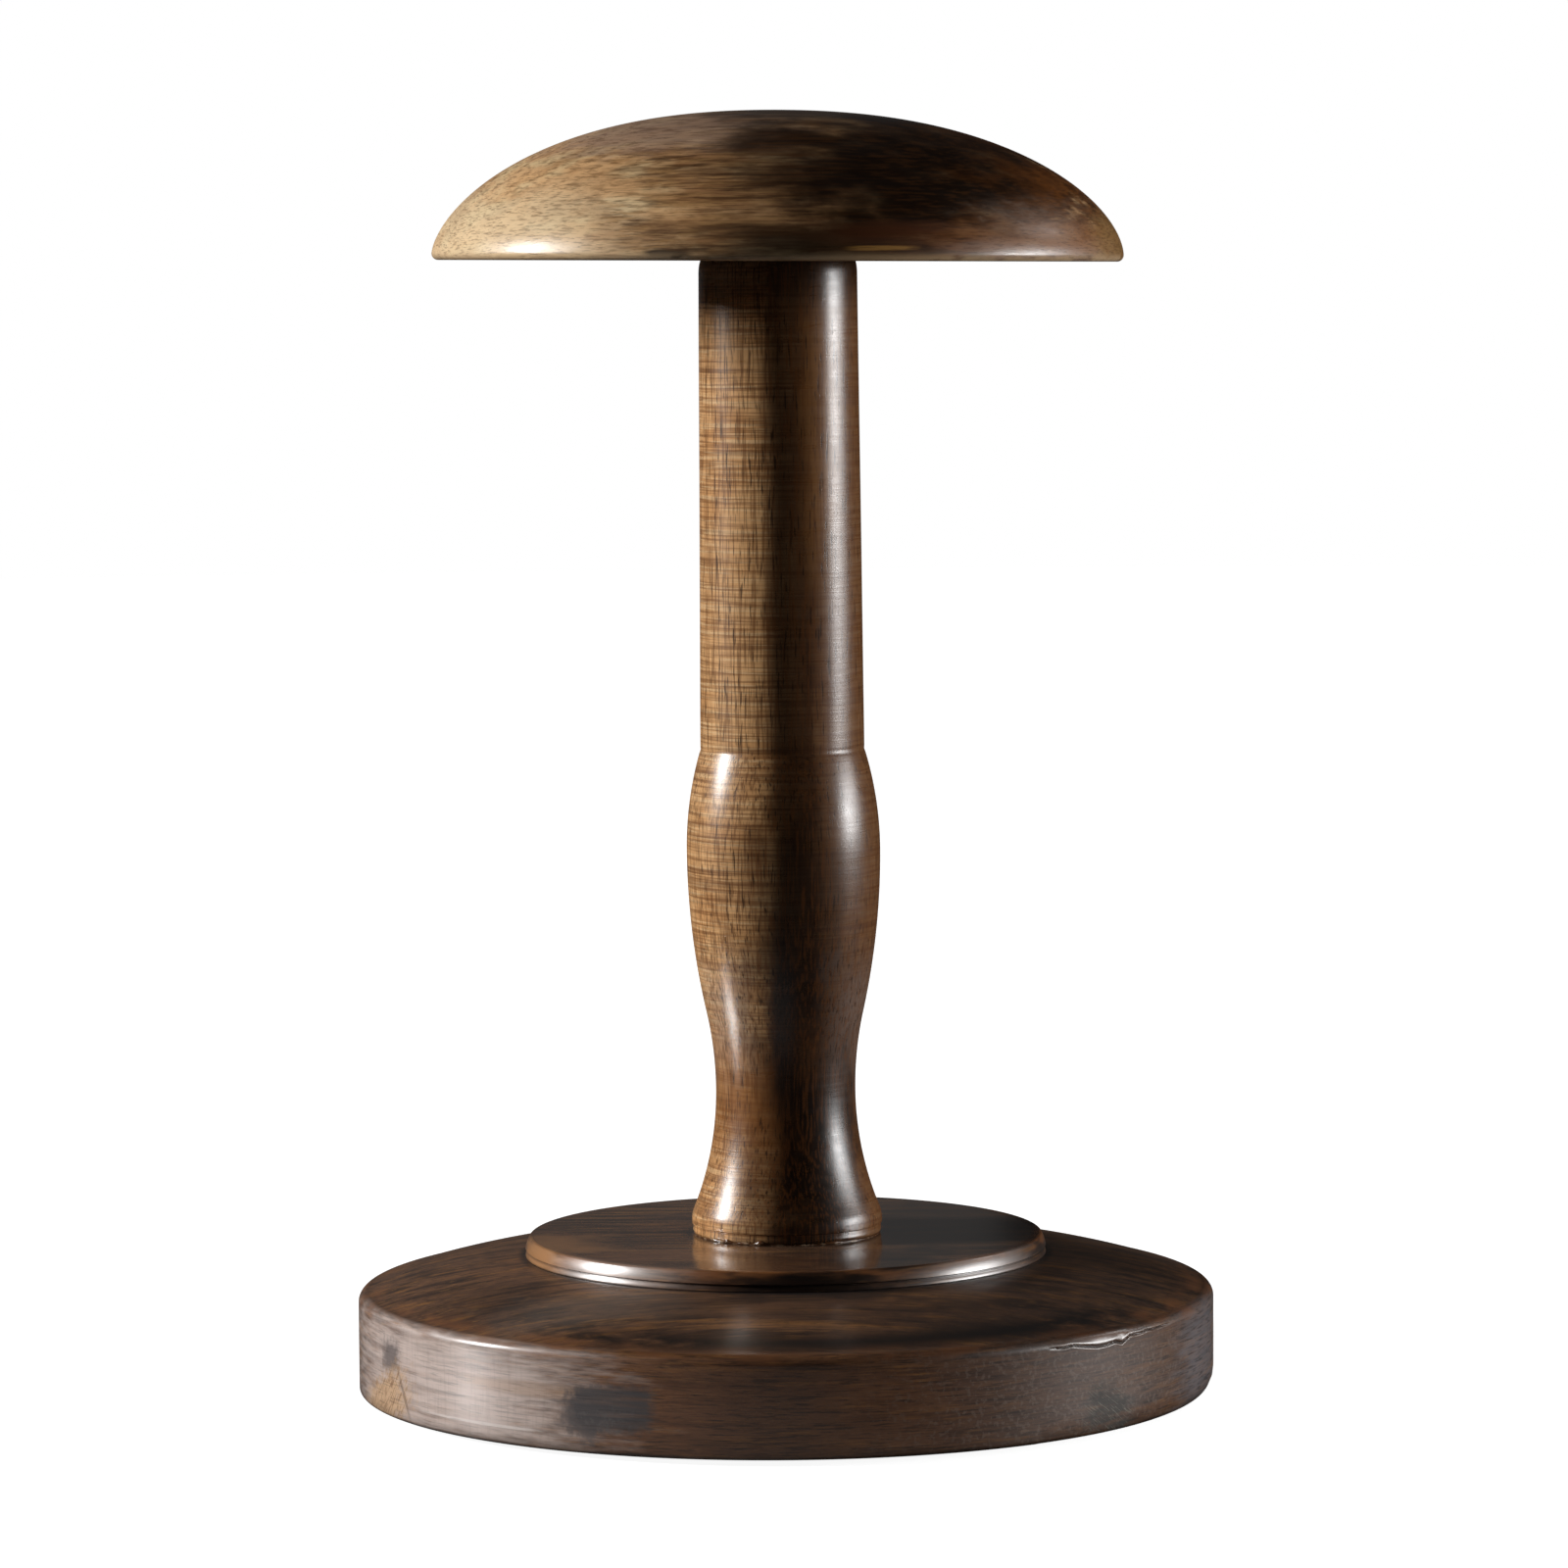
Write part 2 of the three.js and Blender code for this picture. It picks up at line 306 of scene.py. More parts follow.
# The jagged crack under the base's top arris: azimuth and height of its corners
CRACK = np.array([
    [35.5, 22.4], [37.7, 22.1], [39.7, 22.3], [41.7, 21.7], [43.9, 21.1], [45.7, 21.1], [47.6, 21.5],
    [48.9, 20.9], [49.9, 21.7], [50.6, 22.3], [53, 22.2], [54.6, 22.6], [56.1, 22.4], [58.7, 22.6],
    [61, 22.6],
])
CRACK_BAND = 5.6
CRACK_WIDTH = 0.19
CRACK_DEPTH = 0.45
CRACK_LIP = 0.16
LIP_WIDTH = 0.7
CRACK_FADE = 3

# Every relief and share below is called with an azimuth, a radius and a height, also where it needs fewer


def crack_distance(azimuth, height):
    """How far above the crack's line a point lies, and how open the crack is at that azimuth, from 0 to 1."""
    above = height - np.interp(azimuth, CRACK[:, 0], CRACK[:, 1])
    ends = np.minimum(azimuth - CRACK[0, 0], CRACK[-1, 0] - azimuth)
    return above, np.clip(ends / CRACK_FADE, 0, 1)


def crack_share(azimuth, radius, height):
    """One at the crack's bottom, falling as a bell curve of the distance from it."""
    above, opening = crack_distance(azimuth, height)
    return opening * np.exp(-(above / CRACK_WIDTH) ** 2)


# Marks that hands and tools left: azimuth in degrees, then height, two half widths and depth in millimetres
CHIP = (-66, 5, 12, 7.5, 0.35)
DENTS = [(-23, 11.5, 11, 6.5, 0.16), (46, 7, 8, 5, 0.08), (-41, 5.2, 16, 0.6, 0.1), (-8, 17, 9, 1.2, 0.12)]
TURNING_SLACK = 0.07
OVAL_DRIFT = 37
LOBE_DRIFT = 13
FOOT_WEAR = 1.3
FOOT_WEAR_HEIGHT = 2.2
FOOT_WEAR_AZIMUTH = 75
FOOT_WEAR_SPREAD = 32


def hand_turned(azimuth, height, slack=TURNING_SLACK):
    """How far a turned surface is out of true: sine waves, two and five to a turn, drifting with height."""
    turn = np.radians(azimuth)
    oval = np.sin(2 * turn + height / OVAL_DRIFT)
    lobes = np.sin(5 * turn - height / LOBE_DRIFT)
    return -slack * (1 + 0.5 * oval + 0.5 * lobes)


def base_relief(azimuth, radius, height):
    """Out of true, less the crack, a worn foot and the dents, plus a lip above the crack.

    Each is a bell curve, e to the minus square of the distance. A dent has fourth powers, for a flat floor.
    """
    above, opening = crack_distance(azimuth, height)
    lip = CRACK_LIP * opening * np.exp(-((above - LIP_WIDTH) / LIP_WIDTH) ** 2)
    change = hand_turned(azimuth, height) - CRACK_DEPTH * crack_share(azimuth, radius, height) + lip
    wear = np.exp(-((azimuth - FOOT_WEAR_AZIMUTH) / FOOT_WEAR_SPREAD) ** 2)
    change = change - FOOT_WEAR * wear * np.exp(-((height - base_bottom) / FOOT_WEAR_HEIGHT) ** 2)
    for centre, level, wide, high, depth in DENTS + [CHIP]:
        along = np.radians(azimuth - centre) * base_radius / wide
        change = change - depth * np.exp(-along ** 4 - ((height - level) / high) ** 4)
    return change


def plain_relief(azimuth, radius, height):
    """Only out of true."""
    return hand_turned(azimuth, height)


HEAD_WEAR = 0.8


def head_relief(azimuth, radius, height):
    """Out of true, and worn on its left.

    The wear is a parabola over the height, times half of one minus the azimuth's sine.
    """
    share = np.clip((height - head_spring) / (head_top - head_spring), 0, 1)
    left = (1 - np.sin(np.radians(azimuth))) / 2
    return hand_turned(azimuth, height) - HEAD_WEAR * 4 * share * (1 - share) * left


SCRIBE_DEPTH = 0.06
SCRIBE_WIDTH = 0.5
POST_SLACK = 0.03


def post_relief(azimuth, radius, height):
    """Out of true, less a shallow scribed line at the crease, a bell curve of the distance from it."""
    scribe = SCRIBE_DEPTH * np.exp(-((height - crease_height) / SCRIBE_WIDTH) ** 2)
    return hand_turned(azimuth, height, POST_SLACK) - scribe


FACE_MARGIN = 1
FACE_FADE = 1.5


def upper_face(outer):
    """A share that is one on the flat faces of a disc and falls to zero over its rounded edge."""
    def share(azimuth, radius, height):
        return np.clip((outer - FACE_MARGIN - radius) / FACE_FADE, 0, 1)
    return share


def near(edges):
    """A share that is one on each edge (radius, height, reach) and falls as a bell curve of the distance."""
    def share(azimuth, radius, height):
        total = 0 * (radius + height + azimuth)
        for edge_radius, edge_height, reach in edges:
            away = np.hypot(radius - edge_radius, height - edge_height) / reach
            total = np.maximum(total, np.exp(-away ** 2))
        return total
    return share


def columns(step, close=None):
    """Azimuths round the axis, a step apart, or closer over one span given as its start, end and step."""
    if close is None:
        return np.arange(0, 360, step)
    start, end, fine = close
    rest = round((start + 360 - end) / step)
    return np.concatenate([np.arange(start, end, fine), np.linspace(end, start + 360, rest, endpoint=False)])


# How an old, hand-glued stand is out of true: the post's foot lies to the right, and the head dips that way
FOOT_OFFSET = 0.4
HEAD_DIP = 0.0105
DIP_PIVOT = -30

BORE_MARGIN = 2
SHARP_ANGLE = 40


def made(name, corners, faces):
    """A new object with a smoothly shaded mesh of these corners, in millimetres, and faces."""
    mesh = bpy.data.meshes.new(name)
    mesh.from_pydata((corners * MM).tolist(), [], faces)
    mesh.polygons.foreach_set("use_smooth", [True] * len(mesh.polygons))
    mesh.update()
    piece = bpy.data.objects.new(name, mesh)
    bpy.context.scene.collection.objects.link(piece)
    return piece


def turned(name, line, azimuths, relief, shades, lean=0, dip=0):
    """A closed surface of revolution: (radius + relief) times the sine and minus the cosine of each azimuth.

    The relief only works outside the bore, and each shade becomes an attribute of the mesh. Lean moves x by a
    share of the depth below the head, and dip lowers z by a share of x, counted from a pivot.
    """
    closed = line[0, 0] > 0
    rings = line[:-1] if closed else line[1:-1]
    radius = rings[:, 0, None]
    height = rings[:, 1, None]
    outside = np.clip(radius - MORTISE_RADIUS - BORE_MARGIN, 0, 1)
    grown = radius + outside * relief(azimuths[None, :], radius, height)
    turn = np.radians(azimuths)
    corners = np.stack([grown * np.sin(turn), -grown * np.cos(turn), height + 0 * grown], -1).reshape(-1, 3)
    index = np.arange(grown.size).reshape(grown.shape)
    if closed:
        index = np.concatenate([index, index[:1]])
    right = np.roll(index, -1, 1)
    faces = np.stack([index[:-1], right[:-1], right[1:], index[1:]], -1).reshape(-1, 4).tolist()
    if not closed:
        low = len(corners)
        high = low + 1
        corners = np.concatenate([corners, [[0, 0, line[0, 1]], [0, 0, line[-1, 1]]]])
        faces += [[low, after, here] for here, after in zip(index[0].tolist(), right[0].tolist())]
        faces += [[high, here, after] for here, after in zip(index[-1].tolist(), right[-1].tolist())]
    corners[:, 0] += lean * (head_bottom - corners[:, 2])
    corners[:, 2] -= dip * (corners[:, 0] - DIP_PIVOT)
    piece = made(name, corners, faces)
    mesh = piece.data
    mesh.set_sharp_from_angle(angle=math.radians(SHARP_ANGLE))
    for shade, share in shades.items():
        values = np.zeros(len(corners), np.float32)
        values[:grown.size] = (share(azimuths[None, :], radius, height) + 0 * grown).ravel()
        mesh.attributes.new(shade, "FLOAT", "POINT").data.foreach_set("value", values)
    mesh.update()
    return piece


# Varnish squeezed out at the post's foot: azimuth and half width in degrees and thickness in mm of each run
SQUEEZES = [
    (-52, 6, 0.3), (-39, 4, 0.45), (-27, 5, 0.25), (-16, 3.5, 0.6), (28, 6, 0.25), (118, 12, 0.4),
    (205, 9, 0.3),
]
SQUEEZE_LEAST = 0.15
SQUEEZE_RADIUS = 21.6
SQUEEZE_SUNK = 0.05
SQUEEZE_FLATNESS = 0.9


def squeezed_varnish(name):
    """A ring sunk a little into the step disc. Its section is a slightly flat circle.

    The circle's radius is a least one plus a bell curve of the azimuth for each run.
    """
    azimuth = np.arange(0, 360, 1.0)[None, :]
    thick = SQUEEZE_LEAST + 0 * azimuth
    for centre, wide, size in SQUEEZES:
        away = (azimuth - centre + 180) % 360 - 180
        thick = thick + size * np.exp(-(away / wide) ** 2)
    around = np.arange(12)[:, None] * TAU / 12
    radius = SQUEEZE_RADIUS + thick * np.cos(around)
    height = disc_top - SQUEEZE_SUNK + thick * (1 + np.sin(around)) * SQUEEZE_FLATNESS
    turn = np.radians(azimuth)
    corners = np.stack([radius * np.sin(turn) + FOOT_OFFSET, -radius * np.cos(turn), height], -1)
    index = np.arange(radius.size).reshape(radius.shape)
    up = np.roll(index, -1, 0)
    quads = np.stack([index, np.roll(index, -1, 1), np.roll(up, -1, 1), up], -1).reshape(-1, 4)
    return made(name, corners.reshape(-1, 3), quads.tolist())


# Materials. A pattern's size is in millimetres along x, y and z, its turn about z and tilt about y in degrees


def linear(code):
    """An sRGB hex colour as linear values."""
    levels = [int(code[start:start + 2], 16) / 255 for start in (1, 3, 5)]
    return [level / 12.92 if level <= 0.04045 else ((level + 0.055) / 1.055) ** 2.4 for level in levels] + [1]


def feed(tree, node, inputs):
    """Sets a node's inputs to numbers and colours, or links them to other nodes' outputs."""
    for name, value in inputs.items():
        if isinstance(value, bpy.types.NodeSocket):
            tree.links.new(value, node.inputs[name])
        else:
            node.inputs[name].default_value = value


def add(tree, kind, inputs, output=0, **settings):
    """Adds a shader node with its settings and inputs, and returns one of its outputs."""
    node = tree.nodes.new("ShaderNode" + kind)
    for name, value in settings.items():
        setattr(node, name, value)
    feed(tree, node, inputs)
    return node.outputs[output]


def metres(lengths):
    """Millimetres as metres."""
    return [length * MM for length in lengths]


def grain(tree, size, low, high, most=1.0, least=0.0, turn=0, tilt=0, shift=(0, 0, 0), detail=3):
    """Cloudy noise whose clouds have this size, rising smoothly from least to most between low and high."""
    place = add(tree, "TexCoord", {}, "Object")
    stretched = add(tree, "Mapping", {
        "Vector": place, "Location": metres(shift), "Rotation": (0, math.radians(tilt), math.radians(turn)),
        "Scale": metres(size),
    }, vector_type="TEXTURE")
    cloud = add(tree, "TexNoise", {"Vector": stretched, "Scale": 1, "Detail": detail, "Roughness": 0.55})
    return add(tree, "MapRange", {
        "Value": cloud, "From Min": low, "From Max": high, "To Min": least, "To Max": most,
    }, interpolation_type="SMOOTHSTEP")


def mark(tree, fray, centre, half_size, most=1.0, turn=0, tilt=0, soft=0.3, ragged=1.0):
    """A share that is most inside a rounded box and 0 outside it, with a soft and frayed edge.

    The distance from the centre is the fourth root of the sum of the fourth powers of x, y and z, each over
    its half size. The fray is added to it.
    """
    place = add(tree, "TexCoord", {}, "Object")
    inside = add(tree, "Mapping", {
        "Vector": place, "Location": metres(centre), "Rotation": (0, math.radians(tilt), math.radians(turn)),
        "Scale": metres(half_size),
    }, vector_type="TEXTURE")
    square = add(tree, "VectorMath", {0: inside, 1: inside}, operation="MULTIPLY")
    fourth = add(tree, "VectorMath", {0: square, 1: square}, "Value", operation="DOT_PRODUCT")
    distance = add(tree, "Math", {0: fourth, 1: 0.25}, operation="POWER")
    moved = add(tree, "Math", {0: fray, 1: ragged, 2: distance}, operation="MULTIPLY_ADD")
    edge = 1 + ragged / 2
    return add(tree, "MapRange", {
        "Value": moved, "From Min": edge + soft, "From Max": edge - soft, "To Max": most,
    }, interpolation_type="SMOOTHSTEP")


def on_side(azimuth, height, radius=base_radius):
    """The point of a disc's side at an azimuth and height, on the base unless another radius is given."""
    return radius * math.sin(math.radians(azimuth)), -radius * math.cos(math.radians(azimuth)), height


def both(tree, *shares):
    """The product of several shares."""
    product = shares[0]
    for share in shares[1:]:
        product = add(tree, "Math", {0: product, 1: share}, operation="MULTIPLY")
    return product


def stained(tree, ground, coats):
    """A ground colour with coats laid over it in turn, each a colour and the share of it that shows."""
    colour = linear(ground)
    for code, share in coats:
        colour = add(tree, "Mix", {0: share, 6: colour, 7: linear(code)}, 2, data_type="RGBA")
    return colour


def worn(tree, name, share):
    """A mesh attribute times a share."""
    return both(tree, add(tree, "Attribute", {}, "Fac", attribute_name=name), share)


def surface(name, dress):
    """A material whose shader inputs are what dress makes."""
    material = bpy.data.materials.new(name)
    material.use_nodes = True
    tree = material.node_tree
    feed(tree, tree.nodes["Principled BSDF"], dress(tree))
    return material


def bumped(tree, height, depth):
    """A surface normal for grooves and ridges whose full height is this many millimetres."""
    return add(tree, "Bump", {"Height": height, "Strength": 1, "Distance": depth * MM})


LACQUER_IOR = 1.55


def head_finish(tree):
    """Golden beech, stained dark by hand and lacquered to a satin: mottled, and finely streaked along x."""
    fray = grain(tree, (15, 6, 1.5), 0, 1, detail=4)
    cloudy_fray = grain(tree, (17, 12, 8), 0, 1, shift=(7, 3, 11), detail=5)
    fibres = grain(tree, (18, 2.5, 0.45), 0.48, 0.66, 0.46)
    dashes = grain(tree, (8, 2, 0.3), 0.58, 0.68, 0.45, shift=(31, 5, 2))
    dark_streaks = grain(tree, (18, 5, 0.8), 0.46, 0.62, 0.7, shift=(3, 1, 7), detail=5)
    gold_streaks = grain(tree, (15, 4, 0.7), 0.48, 0.62, 0.65, shift=(17, 3, 5), detail=5)
    blots = grain(tree, (5, 3, 1.6), 0.5, 0.66, 0.42, shift=(9, 4, 17), detail=5)
    clouds = grain(tree, (22, 12, 7), 0.46, 0.62, 0.6, shift=(3, 9, 40), detail=5)
    flames = grain(tree, (26, 9, 2.2), 0.48, 0.66, 0.6, shift=(13, 2, 5), detail=5)
    smoke = grain(tree, (18, 14, 6), 0.38, 0.56, 0.76, shift=(8, 21, 3), detail=5)
    middle = mark(tree, cloudy_fray, (-6, 0, 282), (29, 200, 18), soft=0.6, ragged=1.2)
    right = mark(tree, cloudy_fray, (66, 0, 280), (48, 200, 60), soft=0.4, ragged=0.9)
    colour = stained(tree, "#f8c58d", [
        ("#f9daa6", grain(tree, (38, 15, 6), 0.45, 0.62, 0.8)),
        ("#bc8452", clouds),
        ("#8a6036", blots),
        # painted light: a pale pool where the key light falls low on the head's left
        ("#ffe4b8", mark(tree, cloudy_fray, (-60, -42, 269), (27, 40, 10), 0.68, soft=0.5)),
        ("#a9774c", both(tree, middle, smoke)),
        ("#5a391f", both(tree, middle, flames)),
        ("#3f2715", both(tree, middle, dark_streaks)),
        ("#cf9f68", both(tree, middle, gold_streaks)),
        ("#c0a08b", mark(tree, fray, (-26, -36, 293), (28, 30, 5), 0.65, soft=0.5)),
        ("#7e4a1d", both(tree, right, grain(tree, (40, 9, 4), 0.2, 0.5, 0.97, shift=(5, 1, 9)))),
        ("#4c2a13", both(tree, right, flames)),
        ("#2a170b", both(tree, right, dark_streaks)),
        ("#6e3c12", mark(tree, fray, (52, -42, 281), (15, 40, 5), 0.6, soft=0.6)),
        ("#3b2a20", mark(tree, cloudy_fray, (36, -45, 291), (36, 40, 6.5), 0.85, soft=0.5, ragged=1.2)),
        ("#3c2616", mark(tree, cloudy_fray, (0, -54, 285), (11, 30, 9), 0.7, soft=0.6, ragged=1.2)),
        ("#2b2725", mark(tree, cloudy_fray, (10, -12, 297), (22, 34, 3.4), 0.85, soft=0.5)),
        ("#1c1009", mark(tree, cloudy_fray, (25, -58, 284), (25, 34, 9), 0.95, soft=0.6, ragged=1.3)),
        ("#1f1209", mark(tree, cloudy_fray, (30, -58, 276), (22, 34, 6.5), 0.94, soft=0.6, ragged=1.5)),
        ("#3c2513", mark(tree, fray, (10, -76, 267.5), (21, 14, 3.4), 0.88, soft=0.5)),
        ("#6a3a20", mark(tree, fray, (24, -74, 269.5), (14, 16, 2.2), 0.6, soft=0.6)),
        ("#1d120b", mark(tree, fray, (-24, -76, 265), (5, 8, 1.1), 0.9)),
        ("#c99450", mark(tree, fray, (22.6, -77, 266.1), (7.5, 8, 0.55), 0.85, ragged=0.5)),
        ("#8a7565", both(tree, blots, mark(tree, fray, (52, -56, 272), (12, 30, 4), soft=0.5))),
        # painted highlight: pale greyish spots low on the head's right, where the rim lamps reflect
        ("#917a6a", mark(tree, fray, (59, -50, 271), (12, 30, 5), 0.35, soft=0.6)),
        ("#cdb5a8", mark(tree, fray, (58, -52, head_bottom + 1.3), (15, 30, 2.4), 0.55, soft=0.7,
                         ragged=0.5)),
        ("#a87040", mark(tree, fray, (60, -30, 268), (20, 40, 3.4), 0.65, soft=0.6)),
        ("#a8834f", mark(tree, fray, (77, -16, 268), (5, 26, 6), 0.6, soft=0.6)),
        ("#5e3a1c", fibres),
        ("#4a2c14", dashes),
        # painted highlight: a pale line along the head's lower arris, carried by its worn attribute
        ("#e2c097", worn(tree, "worn", grain(tree, (9, 9, 3), 0.3, 0.5, 0.9))),
    ])
    return {
        "Base Color": colour,
        "Roughness": grain(tree, (20, 8, 3), 0.3, 0.7, 0.37, 0.29, detail=1),
        "IOR": LACQUER_IOR,
        "Normal": bumped(tree, fibres, 0.012),
    }


def post_finish(tree):
    """Stained beech from the lathe, lacquered to a gloss: fine turning lines crossed by upright pores."""
    lines = grain(tree, (30, 30, 0.5), 0.44, 0.62, 0.62)
    pale_lines = grain(tree, (22, 22, 0.6), 0.52, 0.64, 0.6, shift=(0, 0, 9))
    rings = grain(tree, (60, 60, 1.8), 0.54, 0.66, 0.4, shift=(0, 0, 3))
    threads = grain(tree, (0.5, 0.5, 11), 0.48, 0.62, 0.6, detail=2)
    pores = grain(tree, (0.4, 0.4, 6), 0.57, 0.67, 0.8, shift=(4, 2, 0), detail=2)
    bands = grain(tree, (2.6, 2.6, 70), 0.5, 0.64, 0.4, shift=(1, 4, 0))
    clouds = grain(tree, (18, 18, 14), 0.46, 0.62, 0.45, detail=5)
    fray = grain(tree, (6, 6, 14), 0, 1)
    colour = stained(tree, "#eab57c", [
        ("#cf9054", clouds),
        ("#99683f", bands),
        ("#83522b", lines),
        ("#f7cf9b", pale_lines),
        ("#6f4222", rings),
        ("#643b1e", mark(tree, fray, (17, 0, 150), (16, 60, 200), 0.85, soft=0.45, ragged=0.5)),
        # painted shade: a dark band down the post's front, which faces away from both lamps
        ("#3a2010", mark(tree, fray, (3, -18, 150), (5.5, 8, 200), 0.72, soft=0.4, ragged=0.5)),
        ("#a4703c", mark(tree, fray, (9.5, -16, 222), (4, 8, 28), 0.5, soft=0.5)),
        # more painted shade of that front band, on the flare
        ("#3a200d", mark(tree, fray, (-4, -20, 56), (7, 12, 24), 0.75, soft=0.5)),
        ("#97602f", mark(tree, fray, (0, 0, 70), (30, 30, 13), 0.75, soft=0.9, ragged=0.8)),
        # painted sheen: a pale pinkish glow on the waist's lit left
        ("#c9b09c", mark(tree, fray, (-13, -13, 89), (6, 9, 12), 0.4, soft=0.7)),
        ("#2c1d17", mark(tree, fray, (8, -13, 82), (11, 16, 20), 0.6, soft=0.6)),
        # more painted shade of that front band, low on the bulb
        ("#150a06", mark(tree, fray, (3, -22, 112), (12, 12, 27), 0.6, soft=0.6)),
        # painted sheen: a paler, greyer glow on the waist's right edge
        ("#9a857a", mark(tree, fray, (18, -10, 86), (7, 14, 15), 0.45, soft=0.7)),
        # more painted shade of that front band, on the flare
        ("#120905", mark(tree, fray, (8, -14, 50), (9, 14, 27), 0.92, soft=0.5)),
        # painted shadow: the post's top darkened just under the head
        ("#120b07", mark(tree, fray, (0, 0, head_bottom), (30, 30, 10), 0.6, soft=0.4, ragged=0.4)),
        ("#6d411e", threads),
        ("#2b180b", pores),
        ("#1c110a", worn(tree, "seam", 0.75)),
    ])
    depth = add(tree, "Math", {0: pores, 1: -1.0, 2: lines}, operation="MULTIPLY_ADD")
    return {
        "Base Color": colour,
        "Roughness": grain(tree, (8, 8, 2), 0.3, 0.7, 0.31, 0.27, detail=1),
        "IOR": LACQUER_IOR,
        "Normal": bumped(tree, depth, 0.006),
    }


# On a disc's edge the streaks are shorter and finer than on its faces
EDGE_STREAK_LENGTH = 0.7
EDGE_STREAK_HEIGHT = 0.5


def disc_coats(tree):
    """Coats of both discs, dark walnut stain over golden wood: streaks along x, and level ones on the edge.

    Each row gives a colour, a streak's length and width, the noise's low, high and most, and a start.
    """
    upper = add(tree, "Attribute", {}, "Fac", attribute_name="upper")
    coats = []
    for code, along, across, low, high, most, start in (
        ("#8a6040", 40, 9, 0.42, 0.6, 0.7, 0),
        ("#b0783c", 30, 2.6, 0.52, 0.68, 0.62, 9),
        ("#2b1a11", 34, 3.4, 0.48, 0.64, 0.75, 3),
        ("#1a100a", 12, 0.8, 0.5, 0.66, 0.55, 5),
        ("#c18d54", 9, 0.7, 0.56, 0.7, 0.4, 7),
        ("#20140e", 2.5, 0.9, 0.54, 0.68, 0.4, 11),
    ):
        shift = (start, 2 * start, start)
        face = grain(tree, (along, across, across), low, high, most, shift=shift)
        level = along * EDGE_STREAK_LENGTH
        edge = grain(tree, (level, level, across * EDGE_STREAK_HEIGHT), low, high, most, shift=shift)
        coats.append((code, add(tree, "Mix", {0: upper, 2: edge, 3: face}, 0, data_type="FLOAT")))
    return coats


# The lacquer over the discs is a clear coat: thin on the base, polished on the step, and rubbed on its edge
LACQUER_COAT = {"Coat Weight": 0.6, "Coat Roughness": 0.2, "Coat IOR": 1.5}
POLISHED_COAT = {"Coat Weight": 1.0, "Coat Roughness": 0.13, "Coat IOR": 1.6}
RUBBED_COAT = {"Coat Weight": 1.0, "Coat Roughness": 0.3, "Coat IOR": 1.6}


def step_finish(tree):
    """Walnut-stained beech under a glossy coat of lacquer, rubbed to reddish wood along its upper bead."""
    fray = grain(tree, (9, 9, 1.4), 0, 1, detail=4)
    upper = add(tree, "Attribute", {}, "Fac", attribute_name="upper")
    edge = add(tree, "Math", {0: 1.0, 1: upper}, operation="SUBTRACT")
    tip = mark(tree, fray, on_side(-72, 34.4, disc_radius), (13, 16, 3), 0.9, turn=-72, soft=0.5)
    coats = disc_coats(tree) + [
        # painted shadow: the step's top darkened right of the post, where the post's shadow falls
        ("#1c1512", mark(tree, fray, (36, 10, 37), (30, 50, 6), 0.72, soft=0.6)),
        ("#5a3213", mark(tree, fray, (-4, -48, 37), (18, 12, 6), 0.5, soft=0.6)),
        ("#1c110a", mark(tree, fray, (22, -44, 37), (14, 14, 6), 0.65, soft=0.6)),
        ("#a8714a", mark(tree, fray, (-34, -36, 37), (14, 9, 6), 0.35, soft=0.6)),
        ("#9a6136", worn(tree, "worn", grain(tree, (14, 14, 3), 0.42, 0.6, 0.75))),
        ("#c08a58", tip),
        # painted highlights: pale pinkish bands on the left and right of the step's edge
        ("#d6c0b4", both(tree, edge, mark(tree, fray, on_side(-41, 34, disc_radius), (17, 9, 6), 0.4,
                                          turn=-41, soft=0.6))),
        ("#cdb9b0", both(tree, edge, mark(tree, fray, on_side(50, 34, disc_radius), (15, 9, 6), 0.3,
                                          turn=50, soft=0.6))),
        # painted shade: the front of the step's edge darkened, where it faces away from both lamps
        ("#0e0806", mark(tree, fray, on_side(5, disc_quirk, disc_radius), (18, 6, 2.2), 0.88,
                         turn=5, soft=0.4)),
        ("#120b08", worn(tree, "seam", 0.8)),
    ]
    return {
        "Base Color": stained(tree, "#6b4a35", coats),
        "Roughness": add(tree, "MapRange", {"Value": upper, "To Min": 0.3, "To Max": 0.5}),
        "IOR": LACQUER_IOR,
        "Normal": bumped(tree, grain(tree, (20, 1, 0.6), 0.3, 0.7), 0.008),
    } | POLISHED_COAT


def step_edge_finish(tree):
    """The step's edge: the same lacquer, rubbed to a softer gloss by hands and dusters."""
    return step_finish(tree) | RUBBED_COAT


